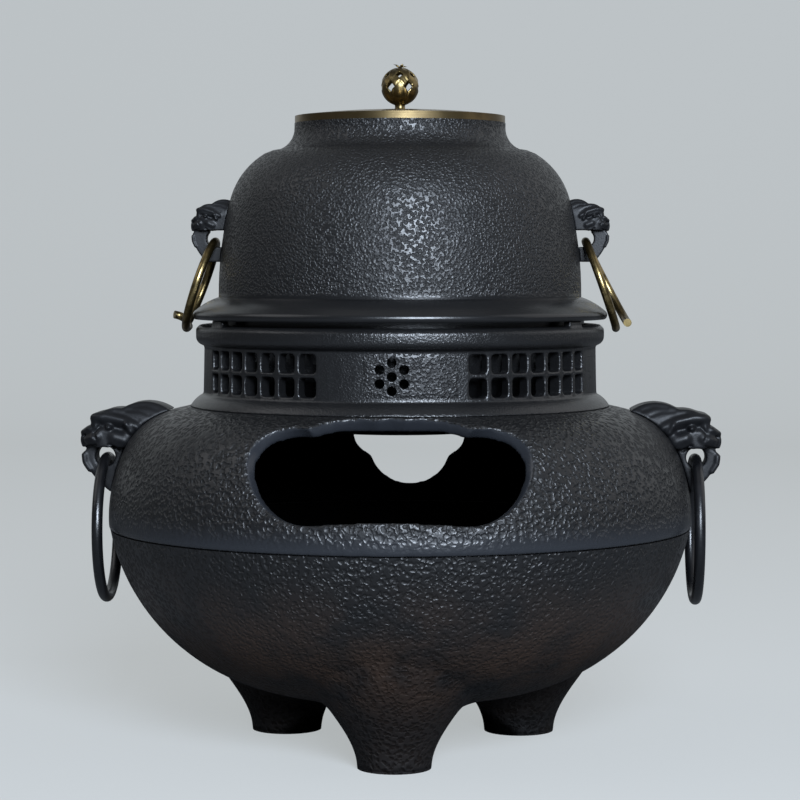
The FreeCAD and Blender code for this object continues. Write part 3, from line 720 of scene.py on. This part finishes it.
def add_bar(form, radius, length, sides, place):
    """A round bar along the upright axis of its place."""
    bmesh.ops.create_cone(
        form,
        cap_ends=True,
        segments=sides,
        radius1=radius,
        radius2=radius,
        depth=length,
        matrix=place,
    )


def turned(angle, axis):
    """A turn about an axis."""
    return Matrix.Rotation(math.radians(angle), 4, axis)


def eased(share):
    """A share from 0 to 1 that starts and ends softly."""
    return share * share * (3 - 2 * share)


def bowl_face_height(place):
    """Height of the bowl's outer face over a place on the floor."""
    run = max(place.xy.length - bowl_flat_radius, 0)
    return bowl_base_height + bowl_curve_radius - math.sqrt(bowl_curve_radius ** 2 - run ** 2)


def flare_place(foot, turn, height):
    """A place on the floor under the foot's trumpet, which bends outward and then runs straight on."""
    share = height / flare_height
    bent = min(share, flare_straight_share)
    slope = 6 * bent * (1 - bent)
    spread = eased(bent) + slope * (share - bent)
    return foot + around_axis(turn, flare_base_radius + flare_widening * spread)


def flare_end(foot, turn):
    """The height at which the trumpet's blend has run out on the bowl, found by halving."""
    low = 0
    high = flare_search_height
    for step in range(flare_search_steps):
        middle = (low + high) / 2
        if middle - bowl_face_height(flare_place(foot, turn, middle)) < flare_blend:
            low = middle
        else:
            high = middle
    return low


def flare_point(foot, turn, height):
    """The trumpet's face, blended into the bowl where the two come close."""
    place = flare_place(foot, turn, height)
    bowl = bowl_face_height(place)
    near = max(flare_blend - abs(height - bowl), 0)
    place.z = min(height, bowl) - near ** 2 / (4 * flare_blend)
    return place


def flare_rings(foot):
    """Rings of points from the foot's base up to the bowl, and two that lie inside the bowl's wall."""
    rings = [[] for row in range(flare_rows + 1)]
    for side in range(flare_sides):
        turn = 360 * side / flare_sides
        rise = flare_end(foot, turn) - flare_base_height
        for row, ring in enumerate(rings):
            share = row / flare_rows
            point = flare_point(foot, turn, flare_base_height + rise * share)
            ring.append(point + Vector((0, 0, flare_dip * share ** flare_dip_power)))
    cover = [point + Vector((0, 0, flare_sink)) for point in rings[-1]]
    inner_cover = [(point + foot) / 2 for point in cover]
    for point in inner_cover:
        point.z = bowl_face_height(point) + flare_sink
    return rings + [cover, inner_cover]


def foot_flare(name, foot, material):
    """A foot as a trumpet that runs into the bowl."""
    form = bmesh.new()
    rings = [[form.verts.new(point) for point in ring] for ring in flare_rings(foot)]
    for lower, upper in zip(rings, rings[1:]):
        add_strip(form, lower[-1:] + lower, upper[-1:] + upper)
    form.faces.new(rings[0])
    form.faces.new(rings[-1])
    bmesh.ops.recalc_face_normals(form, faces=form.faces)
    new_piece(name, mesh_of(form, name), "stove", material)


def points_of(piece):
    """The points of a piece, one in each row."""
    points = numpy.empty(3 * len(piece.data.vertices))
    piece.data.vertices.foreach_get("co", points)
    return points.reshape(-1, 3)


def set_points(piece, points):
    """Puts the points of a piece in new places."""
    piece.data.vertices.foreach_set("co", points.ravel())
    piece.data.update()


def raise_points(piece, lift):
    """Moves each point of a piece along its normal."""
    points = points_of(piece)
    normals = numpy.empty(points.size)
    piece.data.vertex_normals.foreach_get("vector", normals)
    set_points(piece, points + normals.reshape(-1, 3) * lift[:, None])


def path_distance(places, path):
    """Distance of each place from the line through the points of a path."""
    best = numpy.full(len(places), numpy.inf)
    for start, end in zip(path, path[1:]):
        run = end - start
        along = numpy.clip((places - start) @ run / (run @ run), 0, 1)
        best = numpy.minimum(best, numpy.linalg.norm(places - start - along[:, None] * run, axis=1))
    return best


def stroke_share(places, path, reach):
    """1 on the path, falling smoothly to 0 at its reach."""
    return eased(numpy.clip(1 - path_distance(places, path) / reach, 0, 1))


def narrow_crown(piece, shape):
    """Narrows the top of a beast's head."""
    points = points_of(piece)
    rise = (points[:, 2] - shape["chin"]) / (shape["crown"] - shape["chin"])
    over = numpy.clip((rise - beast_crown_start_share) / (1 - beast_crown_start_share), 0, 1)
    points[:, 1] *= 1 - beast_crown_narrowing_share * over * over
    set_points(piece, points)


def beast_head(node, body, shape, material):
    """A carved beast face that holds a ring."""
    length = shape["tip"] - shape["root"]
    height = shape["crown"] - shape["chin"]
    name = node.replace("lug", "beast")
    voxel = beast_voxel_share * length
    piece = cast_copy(node, name, body, material, voxel, beast_soft_passes)
    narrow_crown(piece, shape)
    points = points_of(piece)
    places = numpy.stack([numpy.abs(points[:, 0]) - shape["root"], points[:, 2] - shape["chin"]], axis=1)
    lift = numpy.zeros(len(places))
    for stroke in beast_strokes.values():
        path = numpy.array(stroke["path_shares"]) * (length, height)
        share = stroke_share(places, path, stroke["reach_share"] * length)
        lift += share * stroke["lift_share"] * length
    raise_points(piece, lift)


def knob_openwork(material):
    """The knob's openwork ball, with its petals and leaves carved and a little swollen."""
    piece = cast_copy(
        "knob_ball",
        "knob_openwork",
        "lid",
        material,
        knob_voxel,
        knob_soft_passes,
    )
    middle = numpy.array((0, 0, knob_ball_height))
    points = points_of(piece) - middle
    reach = numpy.linalg.norm(points, axis=1)
    latitude = numpy.degrees(numpy.arcsin(points[:, 2] / reach))
    longitude = numpy.degrees(numpy.arctan2(points[:, 0], -points[:, 1]))
    pitch = 360 / knob_petals
    folded = numpy.abs((longitude + pitch / 2) % pitch - pitch / 2)
    places = numpy.stack([folded, latitude], axis=1)
    lift = numpy.zeros(len(places))
    for stroke in knob_strokes.values():
        path = numpy.array(stroke["path_degrees"], float)
        lift += stroke_share(places, path, stroke["reach_degrees"]) * stroke["lift"]
    raise_points(piece, numpy.where(reach > knob_ball_radius - knob_skin_depth, lift, 0))
    set_points(piece, (points_of(piece) - middle) * knob_swell_share + middle)


def star_leaf(form, turn, tilt):
    """One pointed leaf of the star, thick along its middle."""
    outline = [
        Vector((0, 0, star_thickness / 2)),
        Vector((0, 0, -star_thickness / 2)),
        Vector((star_reach / 2, star_half_width, 0)),
        Vector((star_reach / 2, -star_half_width, 0)),
        Vector((star_reach, 0, 0)),
        Vector((star_reach / 2, 0, star_thickness)),
    ]
    place = Matrix.Translation((0, 0, star_height)) @ turned(turn, "Z") @ turned(-tilt, "Y")
    leaf = [form.verts.new(place @ point) for point in outline]
    bmesh.ops.convex_hull(form, input=leaf)


def knob_leaves(material):
    """The small star of pointed leaves on top of the knob."""
    form = bmesh.new()
    for leaf in range(star_leaves):
        tilt = star_high_tilt if leaf % 2 else star_low_tilt
        star_leaf(form, 360 * leaf / star_leaves, tilt)
    place = Matrix.Translation((0, 0, star_height - star_stalk_height / 2))
    add_bar(form, star_stalk_radius, star_stalk_height, stalk_sides, place)
    return new_piece("knob_leaves", mesh_of(form, "knob_leaves"), "lid", material)


def panel_grid(form, radius, turn):
    """Corners over a panel at this radius, in rows from its base to its top."""
    sweep = panel_end_angle - panel_start_angle
    rise = panel_top_height - panel_base_height
    grid = []
    for row in range(panel_rows + 1):
        height = panel_base_height + rise * row / panel_rows
        line = []
        for column in range(panel_columns + 1):
            angle = turn + panel_start_angle + sweep * column / panel_columns
            line.append(form.verts.new(around_axis(angle, radius, height)))
        grid.append(line)
    return grid


def grid_edges(grid):
    """The first and last rows and columns of a grid."""
    return [grid[0], grid[-1], [line[0] for line in grid], [line[-1] for line in grid]]


def blossom_panel(name, turn, material):
    """A raised panel on the neck with the holes of a blossom."""
    form = bmesh.new()
    front = panel_grid(form, panel_radius, turn)
    back = panel_grid(form, panel_radius - panel_depth, turn)
    for grid in (front, back):
        for lower, upper in zip(grid, grid[1:]):
            add_strip(form, lower, upper)
    for front_edge, back_edge in zip(grid_edges(front), grid_edges(back)):
        add_strip(form, front_edge, back_edge)
    bmesh.ops.recalc_face_normals(form, faces=form.faces)
    piece = new_piece(name, mesh_of(form, name), "stove", material)
    cutter = blossom_cutter(turn)
    holes = piece.modifiers.new("holes", "BOOLEAN")
    holes.object = cutter
    holes.operation = "DIFFERENCE"
    rounding = piece.modifiers.new("rounding", "BEVEL")
    rounding.width = panel_edge_rounding
    rounding.segments = panel_edge_steps
    settle(piece)
    bpy.data.objects.remove(cutter)


def blossom_cutter(turn):
    """Round bars for the blossom's holes in one panel: one in its middle, the others round it."""
    form = bmesh.new()
    spots = [(0, blossom_height)]
    for petal in range(blossom_petals):
        angle = math.radians(90 + 360 * petal / blossom_petals)
        spots.append((blossom_pitch * math.cos(angle), blossom_height + blossom_pitch * math.sin(angle)))
    for x, z in spots:
        place = turned(turn, "Z") @ Matrix.Translation((x, -panel_radius, z)) @ turned(90, "X")
        add_bar(form, blossom_hole_radius, blossom_bar_length, hole_sides, place)
    cutter = bpy.data.objects.new("blossom_cutter", mesh_of(form, "blossom_cutter"))
    bpy.context.scene.collection.objects.link(cutter)
    return cutter


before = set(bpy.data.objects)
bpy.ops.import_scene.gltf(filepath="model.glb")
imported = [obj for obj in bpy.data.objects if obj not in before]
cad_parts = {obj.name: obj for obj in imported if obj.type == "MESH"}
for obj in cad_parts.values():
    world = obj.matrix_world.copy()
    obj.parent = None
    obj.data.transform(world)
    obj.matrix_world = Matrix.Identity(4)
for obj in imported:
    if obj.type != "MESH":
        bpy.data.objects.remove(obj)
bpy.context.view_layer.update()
bpy.context.scene.view_settings.view_transform = "Standard"
build_stage()
build_world()
build_lamps()
build_camera()

# Materials
smooth = iron_smooth("iron_smooth", dressed_roughness_levels, sheen_level)
beast_iron = iron_smooth("beast_iron", beast_roughness_levels, beast_sheen_level)
old_brass = aged_brass()
lid_brass = satin_brass()
# The shoulder's window edges and belly strip get a painted highlight and painted bounce light
shoulder_skin = iron_skin("shoulder_skin", stove_pit_size, off_window_edges, iron_edge_painted_light, [fire_soot])
bowl_skin = iron_skin("bowl_skin", stove_pit_size, wears=[low_dull_brown, fire_soot])
kettle_skin = iron_skin("kettle_skin", kettle_pit_size, above_flange)
neck_skin = iron_skin("neck_skin", neck_pit_size, faint_skin)
panel_skin = iron_skin("panel_skin", panel_pit_size)

# CAD nodes
dress(["lower_bowl"], bowl_skin)
dress(["shoulder_shell"], shoulder_skin)
dress(["fire_grate"], sooty_iron())
dress(["kettle_body"], kettle_skin)
dress(
    [
        "neck_ring",
        "left_stove_lug",
        "right_stove_lug",
        "stove_lug_rivets",
        "left_stove_ring",
        "right_stove_ring",
        "left_kettle_lug",
        "right_kettle_lug",
    ],
    smooth,
)
dress(
    [
        "left_kettle_ring",
        "right_kettle_ring",
        "knob_seat",
        "knob_ball",
        "knob_star",
        "knob_stem",
        "knob_nut",
    ],
    old_brass,
)
dress(["lid_plate", "lid_collar"], lid_brass)

# Softer and carved pieces, some of which stand for a CAD node
cast_copy(
    "shoulder_shell",
    "soft_shoulder",
    "stove",
    shoulder_skin,
    shoulder_voxel,
    shoulder_soft_passes,
)
cast_copy("neck_ring", "soft_neck", "stove", neck_skin, neck_voxel, neck_soft_passes)
for side, turn in foot_turns.items():
    foot_flare(side + "_foot_flare", around_axis(turn, foot_circle_radius), bowl_skin)
for side in ("left", "right"):
    beast_head(side + "_stove_lug", "stove", stove_beast, beast_iron)
    beast_head(side + "_kettle_lug", "kettle", kettle_beast, beast_iron)
knob_openwork(old_brass)
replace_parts(knob_leaves(old_brass), "knob_star")
for side, turn in panel_turns.items():
    blossom_panel(side + "_blossom_panel", turn, panel_skin)
